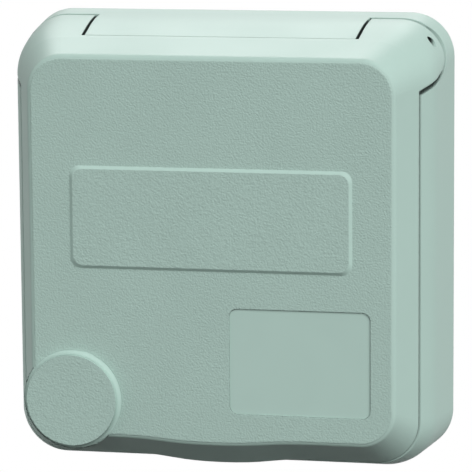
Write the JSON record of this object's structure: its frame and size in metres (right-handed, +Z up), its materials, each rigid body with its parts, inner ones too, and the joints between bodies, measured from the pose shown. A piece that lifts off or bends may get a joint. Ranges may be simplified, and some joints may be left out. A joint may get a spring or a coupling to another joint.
{
  "type": "outdoor weatherproof socket",
  "caption": "Flush-mounted weatherproof earthed socket with a square frame and a chamfered lid that lifts on pins at its top edge.",
  "frame": {"origin": "centre of the frame's back face, in the plane of the wall", "axes": "+Z up, +X to the right seen from the front, +Y into the wall; the lid faces -Y"},
  "size_m": [0.085, 0.0545, 0.087],
  "materials": {
    "body_plastic": "fine-grained satin plastic",
    "insert_plastic": "satin plastic",
    "seal_rubber": "matt rubber",
    "pin_steel": "ground steel",
    "spring_steel": "drawn steel wire",
    "screw_steel": "zinc-plated steel",
    "contact_brass": "rolled brass",
    "shutter_plastic": "smooth plastic",
    "base_plastic": "moulded thermoset"
  },
  "bodies": {
    "housing": {"frame": "body_plastic", "wall_seal": "seal_rubber", "hinge_pin_left": "pin_steel", "hinge_pin_right": "pin_steel", "hinge_spring_left": "spring_steel", "hinge_spring_right": "spring_steel", "socket_cover": "insert_plastic", "cover_seal": "seal_rubber", "flange_screws": "screw_steel", "earth_strap": "contact_brass", "shutter_spring": "spring_steel", "contact_base": "base_plastic", "contact_left": "contact_brass", "contact_right": "contact_brass", "terminal_clamps": "contact_brass", "earth_clamp": "contact_brass", "terminal_screws": "screw_steel", "terminal_cover": "base_plastic", "base_screws": "screw_steel", "centre_screw": "screw_steel"},
    "lid": {"lid": "body_plastic", "lid_seal": "seal_rubber"},
    "shutter": {"shutter": "shutter_plastic"}
  },
  "joints": [
    {"name": "lid_hinge", "type": "hinge", "parent": "housing", "child": "lid", "pos_m": [0, -0.0112, 0.0389], "axis": [-1, 0, 0], "range_deg": [0, 100], "stiffness_Nm_per_rad": 0.03, "springref_deg": -20.05, "deforming": ["hinge_spring_left", "hinge_spring_right"]},
    {"name": "shutter_turn", "type": "hinge", "parent": "housing", "child": "shutter", "pos_m": [0, 0.0025, 0], "axis": [0, 1, 0], "range_deg": [0, 38], "stiffness_Nm_per_rad": 0.002, "springref_deg": -17.19, "deforming": ["shutter_spring"]}
  ]
}
